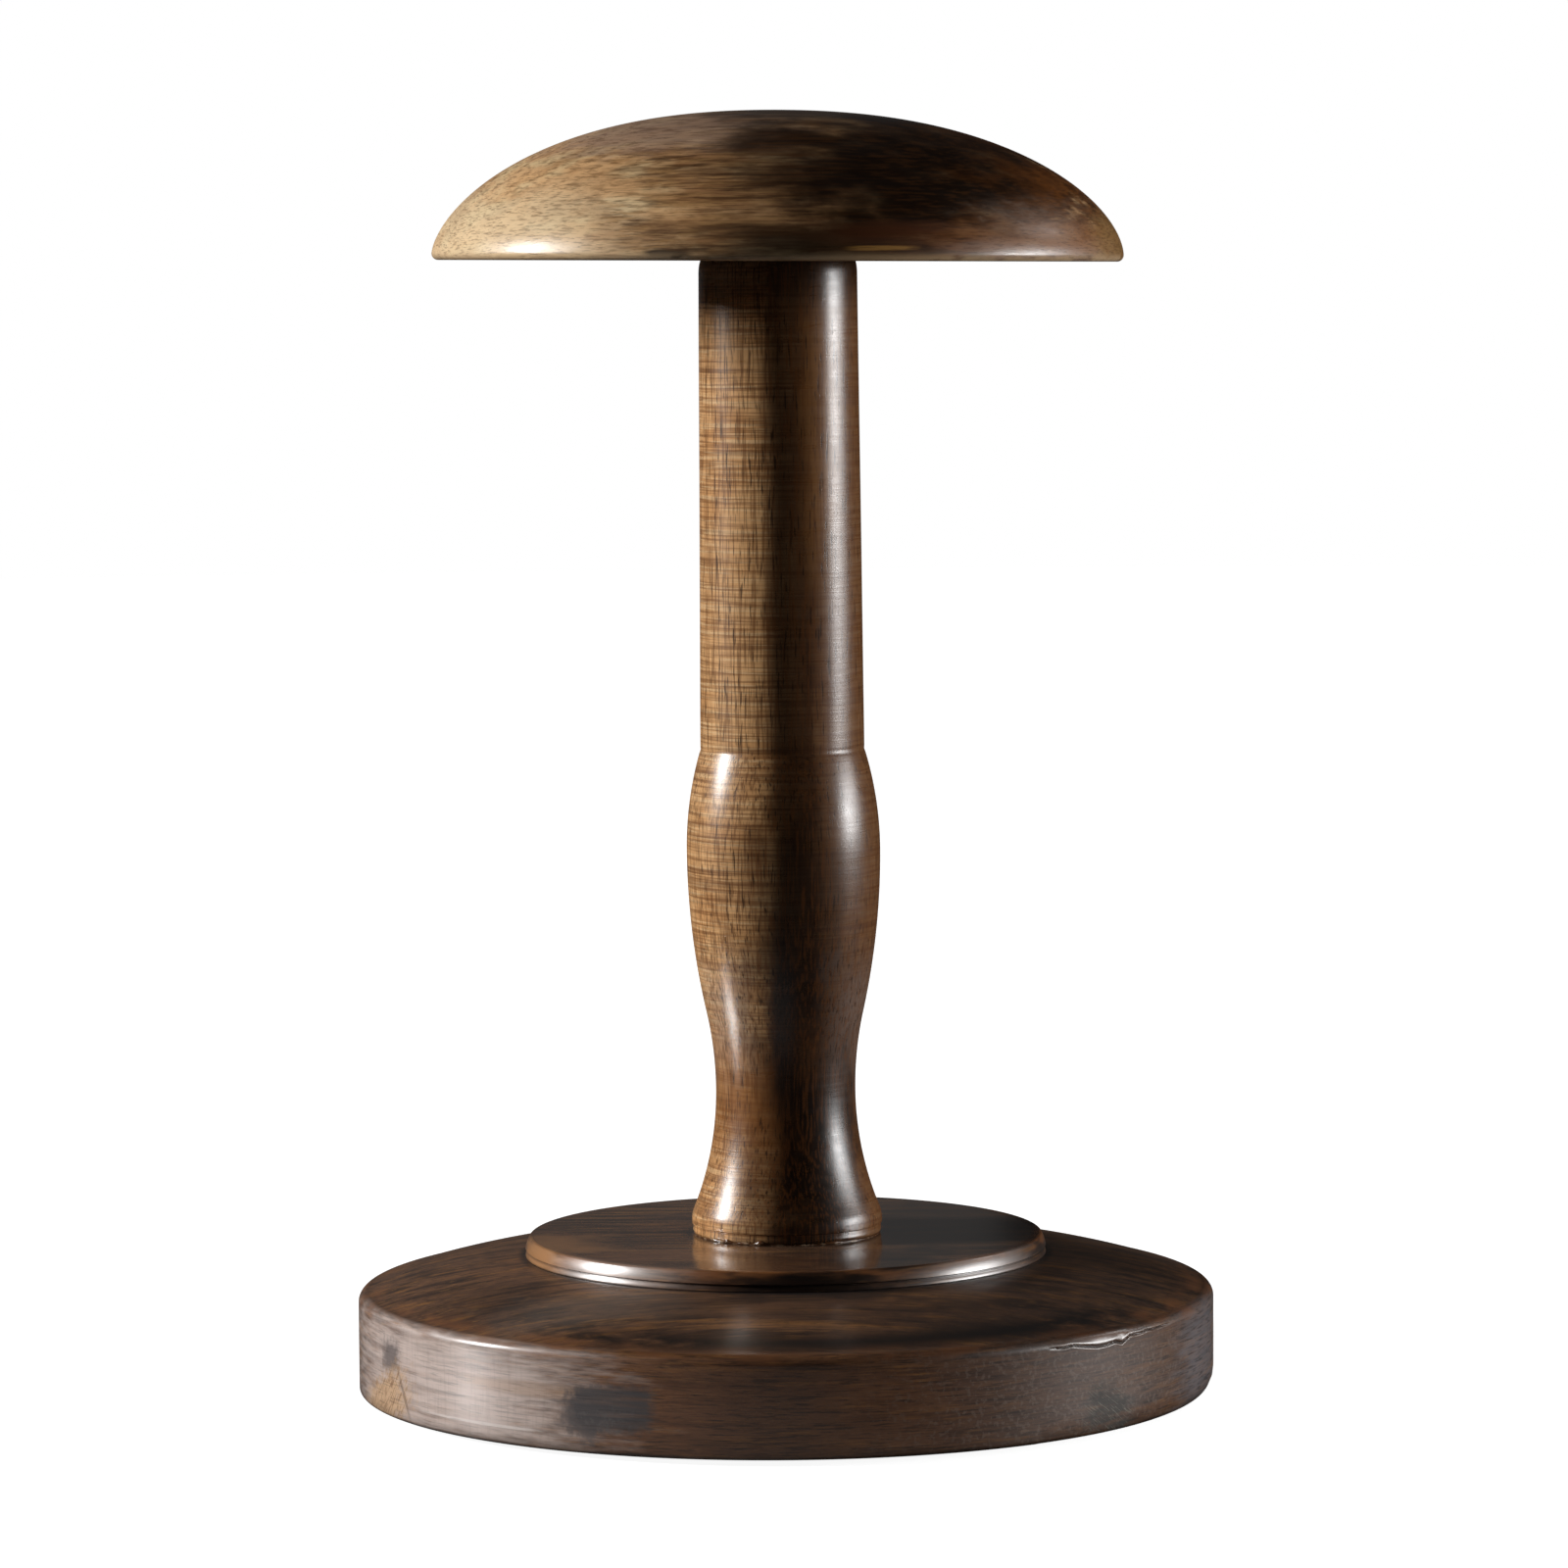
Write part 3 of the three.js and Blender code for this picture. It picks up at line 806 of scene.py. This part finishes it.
def base_finish(tree):
    """The same stain on the base under a duller coat: rubbed arris, bloomed lacquer and the marks of use.

    The haze on its left side is bloomed lacquer and painted sheen, and painted light and shade lie on its
    front and top.
    """
    fray = grain(tree, (9, 9, 1.4), 0, 1, detail=4)
    fine_fray = grain(tree, (1.6, 1.6, 1.6), 0, 1, shift=(5, 5, 5), detail=4)
    streaky = grain(tree, (26, 26, 1.1), 0.3, 0.62, 1.0, 0.6, shift=(2, 2, 6), detail=5)
    weave = grain(tree, (0.8, 0.8, 9), 0.5, 0.66, 0.13, shift=(6, 2, 6))
    grit = grain(tree, (1.1, 1.1, 1.1), 0.5, 0.64, shift=(2, 7, 1), detail=4)
    specks = grain(tree, (7, 7, 0.42), 0.53, 0.65, 0.6, shift=(9, 1, 4))
    faint_specks = grain(tree, (8, 8, 0.4), 0.54, 0.66, 0.3, shift=(1, 14, 8))
    scratches = grain(tree, (5, 5, 0.35), 0.56, 0.64, 0.8, turn=46, tilt=35)
    patch = mark(tree, fine_fray, on_side(46.5, 6.5), (7.5, 12, 4.6), turn=46, tilt=18, soft=0.5)
    chipped = mark(tree, fine_fray, on_side(-67, 4), (13, 8, 5.4), 0.85, turn=-67, tilt=-24, soft=0.45)
    upper = add(tree, "Attribute", {}, "Fac", attribute_name="upper")
    side = add(tree, "Math", {0: 1.0, 1: upper}, operation="SUBTRACT")
    # bloomed lacquer with painted sheen: the pale haze over the base's left side
    bloom_and_painted_sheen = both(tree, side, mark(tree, fray, on_side(-54, 12), (43, 18, 13), 0.95, turn=-54, soft=0.55))
    coats = disc_coats(tree) + [
        # painted light: the base's front side lightened, where little lamp light reaches
        ("#8a562f", mark(tree, fray, (-10, -99, 12), (58, 10, 12), 0.5, soft=0.6)),
        ("#62493c", both(tree, side, mark(tree, fray, on_side(46, 12), (46, 20, 13), 0.65,
                                          turn=46, soft=0.6))),
        # painted reflection: a bluish-grey sheen at the base's right end
        ("#8c8d95", both(tree, side, mark(tree, fray, on_side(74, 14), (16, 20, 13), 0.5,
                                          turn=74, soft=0.6))),
        # painted reflection: a pale grey haze on the base's top, in front of the step
        ("#8d8278", mark(tree, fray, (-46, -64, 30), (20, 12, 6), 0.35, soft=0.6)),
        # painted shadow: the base's top darkened in front of the step
        ("#2a1a10", mark(tree, fray, (8, -72, 30), (36, 11, 6), 0.5, soft=0.6)),
        ("#2e1c14", mark(tree, fray, (-66, -48, 28), (13, 13, 6), 0.45, soft=0.6)),
        # painted shadow: a dark strip on the base's top under the step's front edge
        ("#120b07", mark(tree, fray, (9, -61, base_seat), (20, 3.5, 3), 0.6, soft=0.6)),
        ("#1c110b", both(tree, side, specks)),
        # the pale haze on the left side, partly bloomed lacquer, partly painted sheen
        ("#ddc9bf", both(tree, streaky, bloom_and_painted_sheen)),
        ("#b89272", both(tree, streaky, mark(tree, fray, on_side(-33, 14.5), (22, 10, 1.5), 0.45, turn=-33))),
        ("#6a4c3c", both(tree, bloom_and_painted_sheen, weave)),
        ("#4d4546", mark(tree, fine_fray, on_side(-64.5, 15.5), (4.5, 8, 3.4), 0.75, turn=-65, soft=0.6)),
        ("#dcb48a", chipped),
        ("#8a5f3e", both(tree, grain(tree, (4, 4, 0.5), 0.48, 0.6, 0.8, turn=-66, tilt=-50), chipped)),
        ("#5c473c", mark(tree, fine_fray, on_side(-60.3, 7.5), (0.5, 8, 5), 0.5, turn=-60, tilt=-30,
                         soft=0.5)),
        ("#f0e4dd", mark(tree, fray, on_side(-44, 5.3), (19, 8, 0.3), 0.7, turn=-44, ragged=0.6)),
        ("#6a5f5c", mark(tree, fine_fray, (-45.5, -89, 9), (5, 14, 4.2), 0.8, turn=-26, tilt=24, soft=0.4)),
        ("#4f4a4b", both(tree, streaky, mark(tree, fine_fray, (-39, -92, 11.6), (10, 12, 5.3), 0.98, turn=-23,
                                             tilt=-2, soft=0.2, ragged=0.3))),
        ("#66605e", both(tree, grit, mark(tree, fray, (-42, -91, 8.6), (8, 12, 2.6), 0.6,
                                          turn=-24, soft=0.5))),
        # pale grit over the base's right side, partly a painted sheen
        ("#8c776a", both(tree, grit, mark(tree, fray, on_side(40, 12), (42, 20, 13), 0.5,
                                          turn=40, soft=0.6))),
        ("#3b3833", both(tree, patch, grain(tree, (12, 12, 2), 0.3, 0.55, 0.9))),
        ("#8f887a", both(tree, patch, scratches)),
        ("#2e1f17", both(tree, side, faint_specks)),
        ("#1a1310", mark(tree, fray, (64, -20, 30), (40, 72, 7), 0.55, soft=0.5)),
        ("#8d5a36", worn(tree, "worn", grain(tree, (16, 16, 3), 0.42, 0.62, 0.6))),
        ("#0d0705", worn(tree, "inner", mark(tree, fray, (24, -90, 25), (66, 34, 20), 1.0))),
        ("#120b08", worn(tree, "seam", 0.85)),
        ("#0d0806", worn(tree, "crack", 0.85)),
    ]
    dull = add(tree, "MapRange", {"Value": upper, "To Min": 0.44, "To Max": 0.55})
    relief = add(tree, "Math", {0: grit, 1: 0.5, 2: streaky}, operation="MULTIPLY_ADD")
    return {
        "Base Color": stained(tree, "#704e38", coats),
        "Roughness": add(tree, "Math", {0: patch, 1: 0.2, 2: dull}, operation="MULTIPLY_ADD"),
        "IOR": LACQUER_IOR,
        "Normal": bumped(tree, relief, 0.012),
    } | LACQUER_COAT


def varnish_finish(tree):
    """Dried varnish, squeezed out and left to run: brown, glossy and clouded."""
    return {
        "Base Color": stained(tree, "#5a3a24", [("#a58a70", grain(tree, (2, 2, 1), 0.5, 0.62))]),
        "Roughness": grain(tree, (2, 2, 2), 0.2, 0.8, 0.3),
        "IOR": LACQUER_IOR,
    }


def felt_finish(tree):
    """Green baize, pressed wool: matted fibres, and faded in places.

    The fibres are drawn about a millimetre wide, coarser than real ones, so that they show.
    """
    fibres = grain(tree, (1.2, 1.2, 1.2), 0.35, 0.65, detail=5)
    faded = grain(tree, (22, 22, 22), 0.5, 0.7, 0.6)
    return {
        "Base Color": stained(tree, "#2f4a38", [("#4f7058", fibres), ("#5d6f52", faded)]),
        "Roughness": 0.95,
        "Sheen Weight": 0.3,
        "Normal": bumped(tree, fibres, 0.15),
    }


def steel_finish(tree):
    """Plain steel, drawn and tumbled, dulled by age: grey, with brown spots of rust."""
    spots = grain(tree, (2.2, 2.2, 2.2), 0.55, 0.68, 0.85, detail=4)
    tarnish = grain(tree, (5, 5, 1), 0.4, 0.6)
    return {
        "Base Color": stained(tree, "#9a9792", [("#6f6a64", tarnish), ("#6a4226", spots)]),
        "Metallic": 1.0,
        "Roughness": add(tree, "MapRange", {"Value": spots, "To Min": 0.35, "To Max": 0.7}),
    }


# Edges that hands have rubbed, the head's arris with its painted highlight, and seams that hold dirt:
# radius, height and reach in millimetres
BASE_EDGES = [(base_radius - 0.8, rim_top - 0.6, 2.2), (base_radius - 4, rim_top + 0.2, 2.5)]
DISC_EDGES = [(disc_radius - 0.5, disc_top - 0.5, 1.5)]
LIT_HEAD_ARRIS = [(head_radius - 0.6, head_bottom + 0.4, 1.1)]
BASE_INNER_LINE = [(base_radius - 7.5, rim_top + 0.6, 5.5)]
BASE_SEAMS = [(disc_radius + 0.3, base_seat, 0.9), (base_radius - 0.4, base_bottom, 1.0)]
DISC_SEAMS = [
    (disc_radius - 0.3, disc_quirk, 0.3), (disc_radius, disc_bottom, 0.3), (FOOT_RADIUS, disc_top, 1.4),
]
POST_SEAMS = [(FOOT_BEAD_RADIUS - 1, disc_top, 0.9), (NECK_RADIUS, head_bottom, 1.0)]

# The columns of points stand closest across the crack: start, end and step in degrees
CRACK_COLUMNS = (CRACK[0, 0] - 1, CRACK[-1, 0] + 1, 0.095)

post_lean = FOOT_OFFSET / (head_bottom - disc_top)

# Each turned piece: name, outline, CAD node, slot, azimuths, relief, attributes, finish, lean and dip
for name, line, node, slot, azimuths, relief, shades, finish, lean, dip in (
    ("base_wood", base_outline(), "base_disc", "base_wood", columns(0.8, CRACK_COLUMNS), base_relief,
     {"worn": near(BASE_EDGES), "seam": near(BASE_SEAMS), "crack": crack_share,
      "inner": near(BASE_INNER_LINE), "upper": upper_face(base_radius)},
     surface("walnut_stained_lacquered_beech", base_finish), 0, 0),
    ("step_wood", disc_outline(), "step_disc", "disc_wood", columns(0.7), plain_relief,
     {"worn": near(DISC_EDGES), "seam": near(DISC_SEAMS), "upper": upper_face(disc_radius)},
     surface("walnut_stained_rubbed_beech", step_finish), 0, 0),
    ("post_wood", post_outline(), "post", "post_wood", columns(1.5), post_relief,
     {"seam": near(POST_SEAMS)},
     surface("golden_stained_turned_beech", post_finish), post_lean, 0),
    ("head_wood", head_outline(), "head_block", "head_wood", columns(0.75), head_relief,
     # the head's worn attribute marks its lower arris for a painted highlight
     {"worn": near(LIT_HEAD_ARRIS)},
     surface("hand_stained_lacquered_beech", head_finish), 0, HEAD_DIP),
):
    piece = turned(name, line, azimuths, relief, shades, lean, dip)
    piece.data.materials.append(finish)
    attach(piece, "root")
    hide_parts(node)

# The step's outermost faces, this far in, have the edge's finish
EDGE_WIDTH = 2.2
step = bpy.data.objects["step_wood"].data
step.materials.append(surface("walnut_stained_beech_edge", step_edge_finish))
centres = np.zeros(3 * len(step.polygons))
step.polygons.foreach_get("center", centres)
centres = centres.reshape(-1, 3) / MM
on_edge = np.hypot(centres[:, 0], centres[:, 1]) > disc_radius - EDGE_WIDTH
step.polygons.foreach_set("material_index", on_edge.astype(np.int32))

varnish = squeezed_varnish("foot_varnish")
varnish.data.materials.append(surface("dried_varnish", varnish_finish))
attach(varnish, "root")

steel = surface("dulled_steel", steel_finish)
felt = surface("wool_felt", felt_finish)
for node, material in (("base_screw", steel), ("base_washer", steel), ("base_felt", felt)):
    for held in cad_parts[node].material_slots:
        held.material = material


AIM_HEIGHT = 0.15


def soft_box(name, bearing, distance, bottom, top, width, radiance):
    """A rectangular studio light, placed by its bearing from the camera's side (left positive, degrees).

    Lengths are in metres. The energy is the radiance of the light's face times pi and the face's area.
    """
    lamp = bpy.data.lights.new(name, "AREA")
    lamp.shape = "RECTANGLE"
    lamp.size = width
    lamp.size_y = top - bottom
    lamp.energy = radiance * math.pi * width * (top - bottom)
    light = bpy.data.objects.new(name, lamp)
    bpy.context.scene.collection.objects.link(light)
    turn = math.radians(bearing)
    light.location = (-distance * math.sin(turn), -distance * math.cos(turn), (bottom + top) / 2)
    light.rotation_euler = (light.location - Vector((0, 0, AIM_HEIGHT))).to_track_quat("Z", "Y").to_euler()


# A tall strip on the left lights the stand, and a low broad one with a bright core draws the right-hand edge.
# A small high one behind on the right touches the head, and a dim backdrop gives the flat faces their sheen
soft_box("key", 90, 2.5, 0.66, 1.36, 0.48, 68)
soft_box("rim", -93, 2.5, 0.10, 0.85, 1.1, 8.8)
soft_box("rim_core", -85.5, 2.48, 0.15, 0.5, 0.7, 24)
soft_box("kicker", -114, 2.5, 1.45, 1.95, 0.6, 4.2)
soft_box("backdrop", 160, 2.5, 0.05, 1.2, 2.15, 0.05)
# One below the floor lights the felt alone, through the opening that the felt covers
soft_box("underside", 0, 0.0, -1.0, -0.6, 0.4, 12)

FLOOR_REACH = 4000
FLOOR_OPENING = 90
FLOOR_DROP = 0.1
FLOOR_SIDES = 96

# The floor's white rises from its level near the stand to one between these distances from it, in metres
SHADED_REACH = (0.2, 0.8)
NEAR_WHITE = 0.92

# The floor's reflectance as the camera sees it, then to other light, at its least and in the strip in front
SEEN_REFLECTANCE = 0.6
LEAST_THROWN = 0.04
MOST_THROWN = 0.5

# Left of the stand the table's gloss mirrors the key light onto the base's side. The gloss comes in and goes
# out between these levels of x, in metres
GLOSS_FADES_IN = (-0.07, -0.14)
GLOSS_FADES_OUT = (-0.18, -0.3)
GLOSS_MOST = 0.8


def floor_finish(tree):
    """A pale table top: white to the camera, a little greyer near the stand, where its shadow shows.

    It throws light back onto the base only from the strip in front of it.
    """
    shaded, plain = SHADED_REACH
    seen = add(tree, "LightPath", {}, "Is Camera Ray")
    place = add(tree, "TexCoord", {}, "Object")
    away = add(tree, "VectorMath", {0: place}, "Value", operation="LENGTH")
    white = add(tree, "MapRange", {
        "Value": away, "From Min": shaded, "From Max": plain, "To Min": NEAR_WHITE,
    }, interpolation_type="SMOOTHSTEP")
    strip = mark(tree, grain(tree, (60, 60, 60), 0, 1), (-28, -155, 0), (62, 62, 60), soft=0.6, ragged=0.4)
    thrown = add(tree, "MapRange", {"Value": strip, "To Min": LEAST_THROWN, "To Max": MOST_THROWN})
    return {
        "Base Color": add(tree, "MapRange", {"Value": seen, "To Min": thrown, "To Max": SEEN_REFLECTANCE}),
        "Roughness": 0.6,
        "Specular IOR Level": 0.0,
        "Emission Color": (1, 1, 1, 1),
        "Emission Strength": both(tree, seen, white),
    }


def make_floor():
    """A flat ring a hair below the felt, from an opening that the felt covers out to the reach.

    Its corners are each radius times the cosine and sine of equal turns. A view from below shows the felt.
    """
    turn = np.linspace(0, TAU, FLOOR_SIDES, endpoint=False)
    rim = np.stack([np.cos(turn), np.sin(turn), np.zeros(FLOOR_SIDES)], 1)
    corners = np.concatenate([FLOOR_OPENING * rim, FLOOR_REACH * rim]) - (0, 0, FLOOR_DROP)
    first = np.arange(FLOOR_SIDES)
    second = np.roll(first, -1)
    faces = np.stack([first, first + FLOOR_SIDES, second + FLOOR_SIDES, second], 1)
    floor = made("floor", corners, faces.tolist())
    material = surface("pale_table", floor_finish)
    tree = material.node_tree
    place = add(tree, "TexCoord", {}, "Object")
    across = add(tree, "SeparateXYZ", {0: place}, "X")
    start, full = GLOSS_FADES_IN
    left = add(tree, "MapRange", {
        "Value": across, "From Min": start, "From Max": full, "To Max": GLOSS_MOST,
    }, interpolation_type="SMOOTHSTEP")
    full, end = GLOSS_FADES_OUT
    far = add(tree, "MapRange", {"Value": across, "From Min": end, "From Max": full},
              interpolation_type="SMOOTHSTEP")
    mirrored = add(tree, "LightPath", {}, "Is Glossy Ray")
    gloss = add(tree, "BsdfGlossy", {"Color": (0.9, 0.9, 0.9, 1), "Roughness": 0.2})
    plain = tree.nodes["Principled BSDF"].outputs[0]
    mixed = add(tree, "MixShader", {0: both(tree, left, far, mirrored), 1: plain, 2: gloss})
    feed(tree, tree.nodes["Material Output"], {"Surface": mixed})
    floor.data.materials.append(material)


make_floor()

# The world is white to the camera and nearly dark to the stand
WORLD_GLOW = 0.004
world = bpy.data.worlds.new("studio")
bpy.context.scene.world = world
world.use_nodes = True
seen = add(world.node_tree, "LightPath", {}, "Is Camera Ray")
glow = add(world.node_tree, "MapRange", {"Value": seen, "To Min": WORLD_GLOW, "To Max": 1})
feed(world.node_tree, world.node_tree.nodes["Background"], {"Color": (1, 1, 1, 1), "Strength": glow})

bpy.context.scene.view_settings.view_transform = "Standard"
